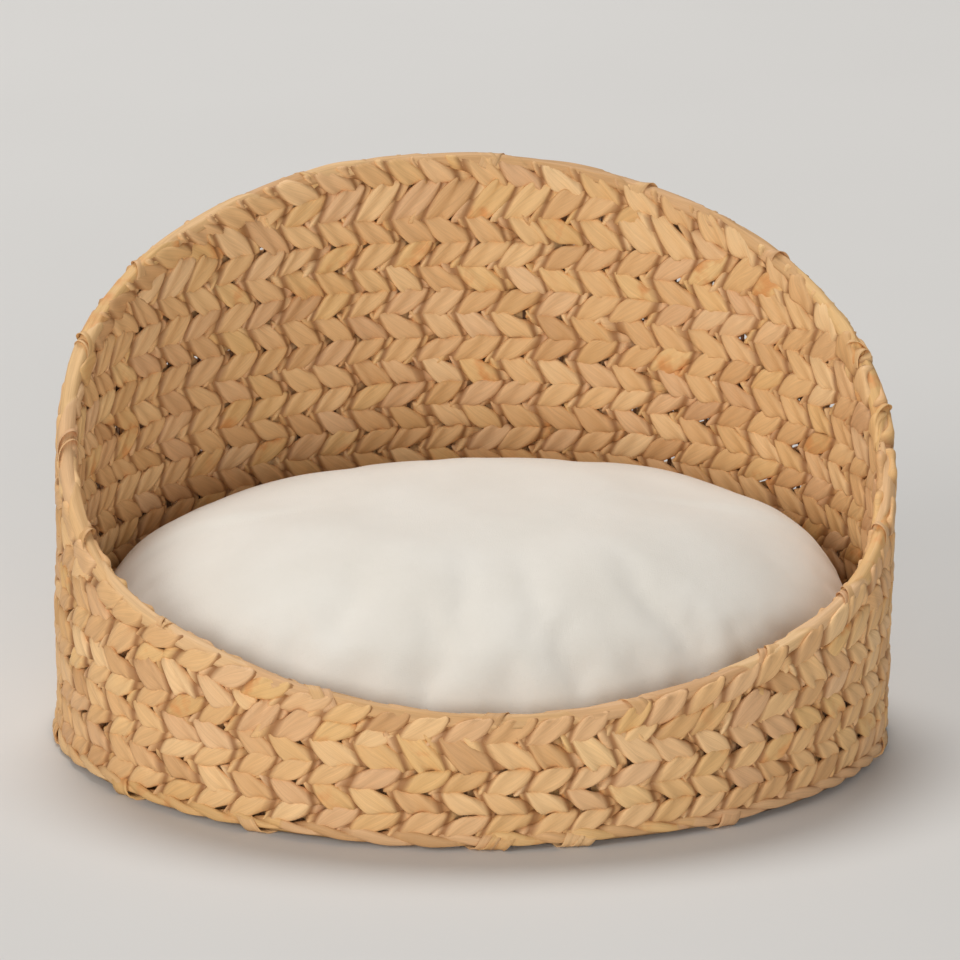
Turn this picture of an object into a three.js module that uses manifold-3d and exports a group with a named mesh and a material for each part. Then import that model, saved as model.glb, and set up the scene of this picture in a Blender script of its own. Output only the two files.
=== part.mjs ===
// Oval wicker pet bed: a twined water-hyacinth wall on steel stakes, low at the front and high at
// the back, with a wrapped rim, a wrapped foot ring, a woven base and a loose cushion.
// Millimetres. +Z is up, the low front faces -Y, and the origin is under the middle of the base.
import * as THREE from "three";
import { mergeVertices } from "three/addons/utils/BufferGeometryUtils.js";
import ManifoldModule from "manifold-3d";

const { Manifold, Mesh: SolidMesh } = await loadManifold();

async function loadManifold() {
  const wasm = await ManifoldModule();
  wasm.setup();
  return wasm;
}

// ---- Driving dimensions ----

const halfWidth = 260;
const halfDepth = 205;
const frontHeight = 85;
const backHeight = 318;
const clearance = 0.4; // between pieces that would touch

// The rim climbs evenly from front to back, but sags a little behind the front.
const sagShare = 0.082;
const sagPlace = 0.334;
const sagSpread = 0.197;

const wallThickness = 13;
const slotWidth = 3.4; // the stakes stand in it, between the two layers of weave
const layerThickness = (wallThickness - slotWidth) / 2;
const stakeInset = wallThickness / 2;
const stakeDiameter = 2.6;
const stakeRadius = stakeDiameter / 2;
const stakeCount = 58;

const courseCount = 10; // each course is a pair of twined rows that lean opposite ways
const wallFoot = 9;
const rowHeight = 13.1;
const rowGrowth = 0.1; // the rows get taller towards the back's top

const rimHalfWidth = 6;
const rimWrapHeight = 7;
const rimWrapThickness = 2;
const rimWireDiameter = 2.6;
const footOverhang = 0.5; // the foot's wrapping stands this far out of the wall on each side
const footWireDiameter = 2.6;
const footFloor = 1.8;

// ---- The basket's outline ----

function ellipsePoint(angle) {
  return new THREE.Vector2(halfWidth * Math.cos(angle), halfDepth * Math.sin(angle));
}

function ellipseNormal(angle) {
  return new THREE.Vector2(Math.cos(angle) / halfWidth, Math.sin(angle) / halfDepth).normalize();
}

// The stakes' angles, evenly spaced along the outline and clockwise from the middle of the front.
function stakeAngles() {
  const samples = 8000;
  const lengths = [0];
  const start = -Math.PI / 2;
  const angleAt = (i) => start - (2 * Math.PI * i) / samples;
  for (let i = 1; i <= samples; i++) {
    const step = ellipsePoint(angleAt(i)).distanceTo(ellipsePoint(angleAt(i - 1)));
    lengths.push(lengths[i - 1] + step);
  }
  const pitch = lengths[samples] / stakeCount;
  const angles = [];
  for (let i = 0; angles.length < stakeCount; i++) {
    if (lengths[i] >= pitch * angles.length - 1e-6) angles.push(angleAt(i));
  }
  return angles;
}

const stations = stakeAngles().map((angle) => ({
  point: ellipsePoint(angle),
  normal: ellipseNormal(angle),
}));

function insetPoint(station, inset) {
  return station.point.clone().addScaledVector(station.normal, -inset);
}

function rimHeight(station) {
  const along = (1 + station.point.y / halfDepth) / 2;
  const sag = sagShare * Math.exp(-(((along - sagPlace) / sagSpread) ** 2));
  return frontHeight + (backHeight - frontHeight) * (along - sag);
}

function rowBottom(row) {
  return wallFoot + rowHeight * row + rowGrowth * row * row;
}

// ---- Solids ----

function solidFrom(geometry) {
  const bare = new THREE.BufferGeometry();
  bare.setAttribute("position", geometry.getAttribute("position"));
  if (geometry.index) bare.setIndex(geometry.index);
  const merged = mergeVertices(bare, 1e-3);
  const corners = merged.index.array;
  const kept = [];
  for (let i = 0; i < corners.length; i += 3) {
    const [a, b, c] = corners.subarray(i, i + 3);
    if (a !== b && b !== c && c !== a) kept.push(a, b, c);
  }
  return new Manifold(
    new SolidMesh({
      numProp: 3,
      vertProperties: merged.getAttribute("position").array,
      triVerts: new Uint32Array(kept),
    }),
  );
}

function geometryFrom(solid) {
  const mesh = solid.getMesh();
  const geometry = new THREE.BufferGeometry();
  const positions = new THREE.BufferAttribute(mesh.vertProperties, 3);
  geometry.setAttribute("position", positions);
  geometry.setIndex(new THREE.BufferAttribute(mesh.triVerts, 1));
  const flat = geometry.toNonIndexed();
  flat.computeVertexNormals();
  return flat;
}

function outline(inset) {
  return stations.map((station) => insetPoint(station, inset));
}

// A flat oval plate whose edge lies `inset` inside the basket's outer face.
function plate(inset, bottom, top) {
  const shape = new THREE.Shape(outline(inset));
  const geometry = new THREE.ExtrudeGeometry(shape, { depth: top - bottom, bevelEnabled: false });
  return geometry.translate(0, 0, bottom);
}

// An upright oval band between two insets.
function band(outerInset, innerInset, bottom, top) {
  const shape = new THREE.Shape(outline(outerInset));
  shape.holes.push(new THREE.Path(outline(innerInset).reverse()));
  const geometry = new THREE.ExtrudeGeometry(shape, { depth: top - bottom, bevelEnabled: false });
  return geometry.translate(0, 0, bottom);
}

// A path through given points, with a step at each one. Its section stays upright: the section's
// x runs along `across` at each point and its y runs up.
class UprightPath extends THREE.Curve {
  constructor(points, across) {
    super();
    this.points = points;
    this.across = across;
  }

  getPoint(t, target = new THREE.Vector3()) {
    return target.copy(this.points[Math.round(t * (this.points.length - 1))]);
  }

  getUtoTmapping(u) {
    return u;
  }

  computeFrenetFrames() {
    const up = new THREE.Vector3(0, 0, 1);
    return {
      tangents: this.across.map((side) => up.clone().cross(side)),
      normals: this.across,
      binormals: this.across.map(() => up),
    };
  }
}

// A section swept round half of the outline, at the stakes' inset, from station `first`.
function halfLoop(section, first, heightAt) {
  const points = [];
  const across = [];
  for (let i = first; i <= first + stakeCount / 2; i++) {
    const station = stations[i % stakeCount];
    const place = insetPoint(station, stakeInset);
    points.push(new THREE.Vector3(place.x, place.y, heightAt(station)));
    across.push(new THREE.Vector3(station.normal.x, station.normal.y, 0));
  }
  const shape = new THREE.Shape(section);
  const path = new UprightPath(points, across);
  return new THREE.ExtrudeGeometry(shape, { steps: points.length - 1, extrudePath: path });
}

// The section's x is measured outwards from the stakes and its y upwards from heightAt.
function loop(section, heightAt) {
  const left = solidFrom(halfLoop(section, 0, heightAt));
  const right = solidFrom(halfLoop(section, stakeCount / 2, heightAt));
  return left.add(right);
}

function roundSection(radius, x, y, sides) {
  const section = [];
  for (let i = 0; i < sides; i++) {
    const turn = (2 * Math.PI * (i + 0.5)) / sides;
    section.push(new THREE.Vector2(x + radius * Math.cos(turn), y + radius * Math.sin(turn)));
  }
  return section;
}

function corners(...pairs) {
  return pairs.map(([x, y]) => new THREE.Vector2(x, y));
}

const level = () => 0;

// ---- The wall ----

// All that lies above the lower edge of the rim's wrapping, which twists a little as it climbs.
function rimCutter() {
  const reach = wallThickness;
  const twistRoom = 0.8;
  const low = -rimWrapHeight - twistRoom;
  const section = corners([-reach, low], [reach, low], [reach, backHeight], [-reach, backHeight]);
  return loop(section, rimHeight);
}

// A tie through the slot that joins a course's two layers, halfway between two stakes.
function tie(index, bottom, top) {
  const a = stations[index];
  const b = stations[(index + 1) % stakeCount];
  const outer = insetPoint(a, layerThickness / 2).lerp(insetPoint(b, layerThickness / 2), 0.5);
  const inner = insetPoint(a, wallThickness - layerThickness / 2);
  inner.lerp(insetPoint(b, wallThickness - layerThickness / 2), 0.5);
  const length = outer.distanceTo(inner);
  const box = new THREE.BoxGeometry(length, 5, top - bottom);
  box.rotateZ(Math.atan2(outer.y - inner.y, outer.x - inner.x));
  const middle = outer.clone().lerp(inner, 0.5);
  return box.translate(middle.x, middle.y, (top + bottom) / 2);
}

function course(number, cutter) {
  const tiesEvery = 4;
  const bottom = rowBottom(2 * number - 2);
  const top = rowBottom(2 * number) - clearance;
  const outerLayer = solidFrom(band(0, layerThickness, bottom, top));
  const innerLayer = solidFrom(band(wallThickness - layerThickness, wallThickness, bottom, top));
  let solid = outerLayer.add(innerLayer);
  for (let i = 0; i < stakeCount / 2; i += tiesEvery) {
    for (const index of [stakeCount / 2 + i, stakeCount / 2 - 1 - i]) {
      solid = solid.add(solidFrom(tie(index, bottom + 1, top - 1)));
    }
  }
  const pieces = solid.subtract(cutter).decompose();
  pieces.sort((p, q) => q.volume() - p.volume());
  return pieces[0];
}

// ---- The steel frame ----

// A hairpin of wire: up the wall at one stake, across the base, and up the opposite wall.
function hairpin(fromStation, toStation, baseHeight) {
  const bend = 2.5;
  const from = insetPoint(fromStation, stakeInset);
  const to = insetPoint(toStation, stakeInset);
  const along = to.clone().sub(from).normalize();
  const topGap = 6.4; // the rim wire lies above the stakes' tops
  const profile = [[0, rimHeight(fromStation) - topGap]];
  const bendSteps = 2;
  for (let i = 0; i <= bendSteps; i++) {
    const turn = (Math.PI / 2) * (i / bendSteps);
    profile.push([bend * (1 - Math.cos(turn)), baseHeight + bend * (1 - Math.sin(turn))]);
  }
  const span = from.distanceTo(to);
  for (let i = bendSteps; i >= 0; i--) {
    const turn = (Math.PI / 2) * (i / bendSteps);
    profile.push([span - bend * (1 - Math.cos(turn)), baseHeight + bend * (1 - Math.sin(turn))]);
  }
  profile.push([span, rimHeight(toStation) - topGap]);
  const points = profile.map(([run, z]) => {
    const place = from.clone().addScaledVector(along, run);
    return new THREE.Vector3(place.x, place.y, z);
  });
  const path = new HairpinPath(points, new THREE.Vector3(along.y, -along.x, 0));
  const shape = new THREE.Shape(roundSection(stakeRadius, 0, 0, 6));
  return new THREE.ExtrudeGeometry(shape, { steps: points.length - 1, extrudePath: path });
}

// A flat path through given points. The section's x runs along `side`, square to the path's plane.
class HairpinPath extends UprightPath {
  constructor(points, side) {
    super(points, points.map(() => side));
  }

  computeFrenetFrames() {
    const tangents = this.points.map((point, i) => {
      const before = this.points[Math.max(i - 1, 0)];
      const after = this.points[Math.min(i + 1, this.points.length - 1)];
      const arriving = point.clone().sub(before).normalize();
      const leaving = after.clone().sub(point).normalize();
      return arriving.add(leaving).normalize();
    });
    const binormals = tangents.map((tangent, i) => tangent.clone().cross(this.across[i]));
    return { tangents, normals: this.across, binormals };
  }
}

function rimWire() {
  const height = -rimWrapThickness - 0.5 - rimWireDiameter / 2;
  return loop(roundSection(rimWireDiameter / 2, 0, height, 6), rimHeight);
}

function footWire() {
  const outwards = stakeRadius + footWireDiameter / 2 + 0.6;
  const height = footFloor + clearance + footWireDiameter / 2;
  return loop(roundSection(footWireDiameter / 2, outwards, height, 6), level);
}

// ---- Wrappings and base ----

// The rolled wrapping is a channel that opens downwards over the wall's top.
function rimWrap() {
  const reach = rimHalfWidth;
  const roof = -rimWrapThickness;
  const hollow = reach - rimWrapThickness;
  const bevel = 1;
  const section = corners(
    [reach, -rimWrapHeight],
    [reach, -0.5 * reach],
    [0.87 * reach, -0.17 * reach],
    [0.5 * reach, 0],
    [-0.5 * reach, 0],
    [-0.87 * reach, -0.17 * reach],
    [-reach, -0.5 * reach],
    [-reach, -rimWrapHeight],
    [-hollow, -rimWrapHeight],
    [-hollow, roof - bevel],
    [bevel - hollow, roof],
    [hollow - bevel, roof],
    [hollow, roof - bevel],
    [hollow, -rimWrapHeight],
  );
  return loop(section, rimHeight);
}

// The foot's wrapping is an angle: a floor that stands on the ground and an outer lip.
function footWrap() {
  const reach = wallThickness / 2 + footOverhang;
  const lip = 2;
  const top = wallFoot - clearance;
  const section = corners(
    [-reach, 0],
    [reach, 0],
    [reach, top],
    [reach - lip, top],
    [reach - lip, footFloor],
    [-reach, footFloor],
  );
  return loop(section, level);
}

const frontBackHeight = 3.6;
const leftRightHeight = frontBackHeight + stakeDiameter + 0.5;

function baseUnder() {
  const inset = wallThickness + footOverhang + clearance;
  return solidFrom(plate(inset, clearance, frontBackHeight - stakeRadius - clearance));
}

function baseTop() {
  const bottom = leftRightHeight + stakeRadius + clearance;
  return solidFrom(plate(wallThickness + clearance, bottom, bottom + 3));
}

// ---- The cushion ----

const cushionGap = 7; // between the cushion's seam and the wall
const cushionBottom = leftRightHeight + stakeRadius + 3 + 2 * clearance;
const seamHeight = 56;
const crownHeight = 150;
const clothThickness = 1.2;

// A round dome profile of a given radius: a list of (radius, height) from the axis to the edge.
function domeProfile(radius, edge, crown, flatness) {
  const rings = 7;
  const profile = [];
  for (let i = 0; i <= rings; i++) {
    const share = Math.sin((Math.PI / 2) * (i / rings));
    const rise = Math.sqrt(1 - share ** flatness);
    profile.push(new THREE.Vector2(radius * share, edge + (crown - edge) * rise));
  }
  return profile;
}

// Turns a closed profile about the vertical axis and stretches the result to the cushion's oval.
function turned(profile) {
  const segments = 36;
  const geometry = new THREE.LatheGeometry(profile, segments);
  geometry.rotateX(Math.PI / 2);
  const width = halfWidth - wallThickness - cushionGap;
  const depth = halfDepth - wallThickness - cushionGap;
  return geometry.scale(width, depth, 1);
}

function facingOut(geometry) {
  const solid = solidFrom(geometry);
  return solid.volume() < 0 ? solidFrom(flipped(geometry)) : solid;
}

function flipped(geometry) {
  const copy = geometry.clone();
  const index = copy.index.array;
  for (let i = 0; i < index.length; i += 3) {
    [index[i + 1], index[i + 2]] = [index[i + 2], index[i + 1]];
  }
  return copy;
}

const edgeShare = clothThickness / (halfDepth - wallThickness - cushionGap);

function panel(edge, crown, flatness) {
  const inward = Math.sign(edge - crown) * clothThickness;
  const outer = domeProfile(1, edge, crown, flatness);
  const inner = domeProfile(1 - 1.5 * edgeShare, edge, crown + inward, flatness);
  return facingOut(turned([...outer, ...inner.reverse()]));
}

function topPanel() {
  return panel(seamHeight + clearance / 2, crownHeight, 3.4);
}

function bottomPanel() {
  return panel(seamHeight - clearance / 2, cushionBottom, 5);
}

function filling() {
  const spare = clothThickness + clearance;
  const radius = 1 - 4 * edgeShare;
  const over = domeProfile(radius, seamHeight + 0.1, crownHeight - 2 * spare, 3.4);
  const under = domeProfile(radius, seamHeight - 0.1, cushionBottom + 2 * spare, 5);
  return facingOut(turned([...over, ...under.reverse()]));
}

// ---- Assembly ----

const hyacinth = new THREE.MeshStandardMaterial({ name: "hyacinth_weave", color: 0xb18f6a, roughness: 0.8 });
const wrapping = new THREE.MeshStandardMaterial({ name: "hyacinth_wrap", color: 0xa5805a, roughness: 0.75 });
const steel = new THREE.MeshStandardMaterial({
  name: "steel_wire",
  color: 0x55504a,
  roughness: 0.5,
  metalness: 0.9,
});
const cotton = new THREE.MeshStandardMaterial({ name: "cotton_cover", color: 0xe4dcd1, roughness: 0.95 });
const fibre = new THREE.MeshStandardMaterial({ name: "polyester_fibre", color: 0xf2f2f0, roughness: 1 });

const basket = new THREE.Group();
basket.name = "wicker_pet_bed";

function add(name, solid, material) {
  const mesh = new THREE.Mesh(geometryFrom(solid), material);
  mesh.name = name;
  basket.add(mesh);
}

const twoDigits = (number) => String(number).padStart(2, "0");

const cutter = rimCutter();
for (let number = 1; number <= courseCount; number++) {
  add("wall_course_" + twoDigits(number), course(number, cutter), hyacinth);
}

const frontBackReach = 8; // stakes either side of the middle that cross from front to back
for (let i = -frontBackReach; i <= frontBackReach; i++) {
  const from = stations[(i + stakeCount) % stakeCount];
  const to = stations[stakeCount / 2 - i];
  const name = "stake_front_back_" + twoDigits(i + frontBackReach + 1);
  add(name, solidFrom(hairpin(from, to, frontBackHeight)), steel);
}

for (let i = frontBackReach + 1; i < stakeCount / 2 - frontBackReach; i++) {
  const from = stations[i];
  const to = stations[stakeCount - i];
  const name = "stake_left_right_" + twoDigits(i - frontBackReach);
  add(name, solidFrom(hairpin(from, to, leftRightHeight)), steel);
}

add("rim_wire", rimWire(), steel);
add("foot_wire", footWire(), steel);
add("rim_wrap", rimWrap(), wrapping);
add("foot_wrap", footWrap(), wrapping);
add("base_mat_under", baseUnder(), hyacinth);
add("base_mat_top", baseTop(), hyacinth);
add("cushion_top_panel", topPanel(), cotton);
add("cushion_bottom_panel", bottomPanel(), cotton);
add("cushion_filling", filling(), fibre);

export default basket;
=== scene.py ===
# The looks of an oval wicker pet bed: twined water hyacinth on steel stakes, and a loose cushion.
# Metres, +Z up, the low front faces -Y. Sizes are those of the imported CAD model.
import math

import bpy
import numpy as np
from mathutils import Matrix, Vector


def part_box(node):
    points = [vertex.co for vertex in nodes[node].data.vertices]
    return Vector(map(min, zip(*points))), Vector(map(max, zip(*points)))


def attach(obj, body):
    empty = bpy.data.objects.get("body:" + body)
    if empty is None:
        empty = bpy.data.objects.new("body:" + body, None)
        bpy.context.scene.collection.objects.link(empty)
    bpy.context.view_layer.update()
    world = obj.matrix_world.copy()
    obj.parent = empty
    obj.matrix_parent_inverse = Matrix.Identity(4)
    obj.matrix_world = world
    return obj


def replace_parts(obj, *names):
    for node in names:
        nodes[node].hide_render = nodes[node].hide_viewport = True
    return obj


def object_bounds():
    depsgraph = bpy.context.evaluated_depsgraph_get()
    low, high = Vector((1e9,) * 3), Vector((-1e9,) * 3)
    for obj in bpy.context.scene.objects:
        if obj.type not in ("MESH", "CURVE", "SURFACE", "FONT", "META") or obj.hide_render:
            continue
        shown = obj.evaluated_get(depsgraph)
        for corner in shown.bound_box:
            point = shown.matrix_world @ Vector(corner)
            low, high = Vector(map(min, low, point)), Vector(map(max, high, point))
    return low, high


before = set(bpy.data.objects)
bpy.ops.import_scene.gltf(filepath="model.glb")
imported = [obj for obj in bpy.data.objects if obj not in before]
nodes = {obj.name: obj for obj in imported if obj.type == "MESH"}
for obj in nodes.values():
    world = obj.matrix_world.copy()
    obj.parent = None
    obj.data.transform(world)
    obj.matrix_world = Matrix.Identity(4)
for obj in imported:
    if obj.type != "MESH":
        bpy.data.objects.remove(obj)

cad_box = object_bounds()

# ---- Driving dimensions, the same as the CAD model's ----

HALF_WIDTH = 0.260
HALF_DEPTH = 0.205
FRONT_HEIGHT = 0.085
BACK_HEIGHT = cad_box[1][2]
SAG_SHARE, SAG_PLACE, SAG_SPREAD = 0.082, 0.334, 0.197  # the dip in the rim's climb to the back
WALL = 0.013  # thickness
STAKES = 58  # stake ends round the wall, and half turns in each strand
ROWS = 20
WALL_FOOT = 0.009  # the level of the lowest row
ROW_HEIGHT = 0.0131
ROW_GROWTH = 0.0001  # sets how much higher the upper rows are
RIM_HEIGHT = 0.007
ROLL_HALF = 0.0053  # half the width of the rim's roll

# ---- Dimensions of the looks ----

RIM_ROW_HEIGHT = 0.0150  # the row that follows the rim
RIM_OVERLAP = 0.0042  # how far that row's leaves stand over the rim's lower edge
NARROWEST = 0.42  # the narrowest leaves in the wall, as a share of a full row
ROOM_SPREAD = 0.6  # a row's room is evened out over this many leaves either way
RIM_TUCK = 0.0018  # how far a row without full room reaches in under the row above it
WEAVE_PROUD = 0.0004  # how far the weave stands out past the CAD wall's faces
STAKE_SWAY = 0.11  # how far a stake strays from its place, in stake pitches
ROW_SWAY = 0.0009  # how far a row strays from its level
FLOOR_GAP = 0.0001  # the least distance from the floor to the strips round the foot
BINDING_STEPS = 22
BINDING_SIDES = 8
UP = np.array([0.0, 0.0, 1.0])


# ---- The outline, measured in stake pitches, clockwise from the middle of the front ----

def outline_table():
    """Angles round the oval, their places in stake pitches, and the pitch in metres."""
    fine_steps = 8000
    angle = -np.pi / 2 - np.linspace(0, 2 * np.pi, fine_steps + 1)
    x, y = HALF_WIDTH * np.cos(angle), HALF_DEPTH * np.sin(angle)
    length = np.concatenate([[0], np.cumsum(np.hypot(np.diff(x), np.diff(y)))])
    return angle, length * STAKES / length[-1], length[-1] / STAKES


ANGLES, PLACES, PITCH = outline_table()


def outline(u, inset):
    """Points on the outline at places u, and the directions that face outwards there."""
    angle = np.interp(np.mod(u, STAKES), PLACES, ANGLES)
    point = np.stack([HALF_WIDTH * np.cos(angle), HALF_DEPTH * np.sin(angle), 0 * u], 1)
    out = np.stack([np.cos(angle) / HALF_WIDTH, np.sin(angle) / HALF_DEPTH, 0 * u], 1)
    out /= np.linalg.norm(out, axis=1)[:, None]
    return point - out * np.reshape(inset, (-1, 1)), out


def rim_height(u):
    """The level of the rim's top: it climbs from front to back, with a dip on the way."""
    point, _ = outline(u, 0.0)
    along = (1 + point[:, 1] / HALF_DEPTH) / 2
    sag = SAG_SHARE * np.exp(-(((along - SAG_PLACE) / SAG_SPREAD) ** 2))
    return FRONT_HEIGHT + (BACK_HEIGHT - FRONT_HEIGHT) * (along - sag)


def row_bottom(row):
    """The level of a row's lower edge, where the wall isn't cut off by the rim."""
    return WALL_FOOT + ROW_HEIGHT * row + ROW_GROWTH * row * row


# ---- Small numeric helpers ----

def smooth(low, high, x):
    """0 up to low, 1 from high on, and an even step between."""
    t = np.clip((x - low) / (high - low), 0, 1)
    return t * t * (3 - 2 * t)


def wander(u, seed, period):
    """A smooth seeded curve of about unit size, that changes over `period` stake pitches."""
    count = max(int(round(STAKES / period)), 3)
    knots = np.random.default_rng(seed).normal(size=count)
    place = np.mod(u, STAKES) / STAKES * count
    low = np.floor(place).astype(int)
    share = smooth(0, 1, place - low)
    return knots[low % count] * (1 - share) + knots[(low + 1) % count] * share


def unit(v):
    return v / np.linalg.norm(v, axis=-1, keepdims=True)


def signed_power(x, power):
    return np.sign(x) * np.abs(x) ** power


def turns(sides):
    """Angles of a section's corners."""
    return 2 * np.pi * (np.arange(sides) + 0.5) / sides


def path_lengths(points):
    """The length of an open path up to each of its points."""
    return np.concatenate([[0], np.cumsum(np.linalg.norm(np.diff(points, axis=0), axis=1))])


def loop_tangent(points):
    """Directions along a closed loop."""
    return unit(np.roll(points, -1, 0) - np.roll(points, 1, 0))


# ---- Mesh building ----

class Builder:
    """Collects swept strands into one mesh, with the attributes that the materials read."""

    def __init__(self, name):
        self.name = name
        self.points, self.faces = [], []
        self.values = {"tone": [], "hue": [], "tip": [], "along": [], "around": []}
        self.count = 0

    def sweep(self, rings, closed, **values):
        """rings is (steps, sides, 3). Each value is single, per step, or per step and side."""
        steps, sides = rings.shape[:2]
        index = self.count + np.arange(steps * sides).reshape(steps, sides)
        if closed:
            index = np.vstack([index, index[:1]])
        a, b = index[:-1], index[1:]
        quads = np.stack([a, np.roll(a, -1, 1), np.roll(b, -1, 1), b], 2).reshape(-1, 4)
        self.faces += quads.tolist()
        if not closed:
            self.faces.append(index[0, ::-1].tolist())
            self.faces.append(index[-1].tolist())
        self.points.append(rings.reshape(-1, 3))
        for key, store in self.values.items():
            value = np.asarray(values.get(key, 0.0), float)
            if value.ndim == 1:
                value = value[:, None]
            store.append(np.broadcast_to(value, (steps, sides)).reshape(-1))
        self.count += steps * sides

    def build(self, material, body="basket"):
        mesh = bpy.data.meshes.new(self.name)
        mesh.from_pydata(np.concatenate(self.points), [], self.faces)
        mesh.polygons.foreach_set("use_smooth", np.ones(len(mesh.polygons), bool))
        for key, store in self.values.items():
            attribute = mesh.attributes.new(key, "FLOAT", "POINT")
            attribute.data.foreach_set("value", np.concatenate(store).astype(np.float32))
        mesh.materials.append(material)
        obj = bpy.data.objects.new(self.name, mesh)
        bpy.context.scene.collection.objects.link(obj)
        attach(obj, body)
        return obj


def section_rings(centre, side, out, half_width, half_thick, sides):
    """Flattened round sections: `side` is the section's wide way and `out` its thin way."""
    turn = turns(sides)
    wide = np.cos(turn)[None, :] * np.reshape(half_width, (-1, 1))
    thin = signed_power(np.sin(turn), 0.85)[None, :] * np.reshape(half_thick, (-1, 1))
    return centre[:, None] + side[:, None] * wide[..., None] + out[:, None] * thin[..., None]


# ---- Twining ----

LEAF_STEPS = 18  # along one leaf, which is half a turn of a strand
LEAF_SIDES = 14
TWIST = 0.5  # how much of a strand's turning is gathered where it crosses its partner
POINTED = 0.26  # how much a leaf narrows towards its tip and widens towards its head
FULL = 0.2  # how much wider a leaf is kept half-way to its ends, so that it closes on its neighbours
SHEAR = 0.5  # how far a leaf's upper edge runs ahead of its lower edge, as a share of its height
SLANT = 0.34  # the climb of the fibres along a leaf
LEAF_WIDTH = 1.22  # a share of the row's height
LEAF_THICK = 0.0027  # half a leaf's thickness
CROSSING_WIDTH = 0.0055  # half a strand's width where it stands on edge and crosses its partner
# shares of the row's height:
CROSSING_THICK = 0.40  # half a strand's thickness where it crosses
TURNING_THICK = 0.12  # what is added to it half-way through the turn
CROSSING_RISE = 0.29  # how far above or below the row's middle it crosses
PRESSED_HEIGHT = 0.68  # how far from the row's middle a leaf can reach
# shares of half the wall:
PRESSED_CROSSING = 0.85  # how far in or out a strand can reach where it crosses
PRESSED_FACE = 0.28  # what is added to that where it faces out or in


class Leaves:
    """Seeded differences between the leaves of one strand, blended where one leaf meets the next."""

    def __init__(self, seed, count):
        rng = np.random.default_rng(seed)
        self.count = count
        self.width = 1 + np.clip(rng.normal(0, 0.10, count), -0.16, 0.24)
        self.thick = 1 + np.clip(rng.normal(0, 0.12, count), -0.2, 0.25)
        self.lift = rng.normal(0, 0.0006, count)
        self.bulge = rng.normal(0, 0.0006, count)
        self.slide = np.clip(rng.normal(0, 0.10, count), -0.19, 0.19)
        self.tone = rng.beta(2.2, 2.2, count)
        self.hue = rng.random(count)
        self.crease = rng.uniform(0, 2 * np.pi, (count, 3))
        self.depth = rng.uniform(0.01, 0.045, count)

    def at(self, values, place, blend=0.16):
        """values by leaf, read at leaf places: whole numbers are the middles of the leaves."""
        leaf = np.round(place).astype(int)
        off = place - leaf
        near = leaf + np.where(off > 0, 1, -1)
        share = 0.5 * smooth(0.5 - blend, 0.5, np.abs(off))
        own, other = values[leaf % self.count], values[near % self.count]
        return own * (1 - share) + other * share


def pressed(x, limit, hardness=5):
    """Leaves pressed flat: x stays as it is near the middle and never passes the limit."""
    return x / (1 + np.abs(x / limit) ** hardness) ** (1 / hardness)


def twined_strand(builder, origin, out, up, place, handed, height, leaves, closed, radial,
                  width=LEAF_WIDTH, sides=LEAF_SIDES):
    """One strand of a twined pair. It passes outside the stakes at even places and inside at odd ones.

    origin, out and up give the row's middle line and its directions at each step, place counts
    leaves along the strand, height is the row's height there, and radial is half the wall.
    """
    place = place + leaves.at(leaves.slide, place, 0.3)
    turn = np.pi * place - TWIST / 2 * np.sin(2 * np.pi * place)
    cosine, sine = np.cos(turn), np.sin(turn)
    face = np.abs(cosine)
    fill = np.clip(height / ROW_HEIGHT, 0.2, 1.5)
    # where the two strands cross they stand on edge, one above the other
    half_face = 0.5 * width * height * leaves.at(leaves.width, place)
    half_crossing = CROSSING_WIDTH * np.minimum(fill, 1)
    half_width = half_crossing + (half_face - half_crossing) * face
    turning = (2 * sine * face) ** 2  # 1 half-way between facing out and standing on edge
    half_width = half_width * (1 + 2 * POINTED * sine * face) * (1 + FULL * turning)
    thick_face = LEAF_THICK * np.sqrt(fill) * leaves.at(leaves.thick, place)
    half_thick = thick_face + (CROSSING_THICK * height - thick_face) * (1 - face) ** 0.7
    half_thick = half_thick + TURNING_THICK * height * turning
    reach = radial - thick_face + leaves.at(leaves.bulge, place)
    rise = CROSSING_RISE * height * sine * handed + leaves.at(leaves.lift, place)

    around = turns(sides)
    leaf = np.round(place).astype(int) % leaves.count
    ripples = sum(np.cos(n * around + leaves.crease[leaf, i:i + 1]) for i, n in enumerate((5, 7, 9)))
    creases = 1 + ripples * (leaves.depth[leaf] * (0.35 + 0.65 * (1 - face)))[:, None]
    wide = signed_power(np.cos(around), 0.9) * half_width[:, None]
    thin = signed_power(np.sin(around), 0.8) * half_thick[:, None] * creases
    tilt = np.arctan2(sine * handed, cosine)[:, None]
    across = (reach * cosine)[:, None] + np.cos(tilt) * thin - np.sin(tilt) * wide
    above = rise[:, None] + np.sin(tilt) * thin + np.cos(tilt) * wide
    across = pressed(across, ((PRESSED_CROSSING + PRESSED_FACE * face) * radial)[:, None])
    above = pressed(above, PRESSED_HEIGHT * np.reshape(height, (-1, 1)), 6)

    ahead = np.cross(out, up)
    order = slice(None, None, -1)  # the order of a section's corners that faces its sides outwards
    if np.dot(ahead[0], origin[1] - origin[0]) < 0:
        ahead, order = -ahead, slice(None)
    shift = SHEAR * np.reshape(handed, (-1, 1)) * above * across / np.reshape(radial, (-1, 1))
    rings = origin[:, None] + out[:, None] * across[..., None] + up[:, None] * above[..., None]
    rings = rings + ahead[:, None] * shift[..., None]
    # the fibres climb a little along the leaf, and gather at its ends
    middle = place - np.round(place)
    fibre = np.cos(around)[None] * half_width[:, None]
    fibre = fibre - (SLANT * PITCH * middle * np.sign(handed))[:, None]
    # painted shade: this value is strongest where the leaf stands on edge between the stakes, and the
    # material darkens the leaf there
    builder.sweep(rings[:, order], closed, tone=leaves.tone[leaf], hue=leaves.hue[leaf], tip=1 - face,
                  along=path_lengths(origin), around=fibre[:, order])


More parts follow.
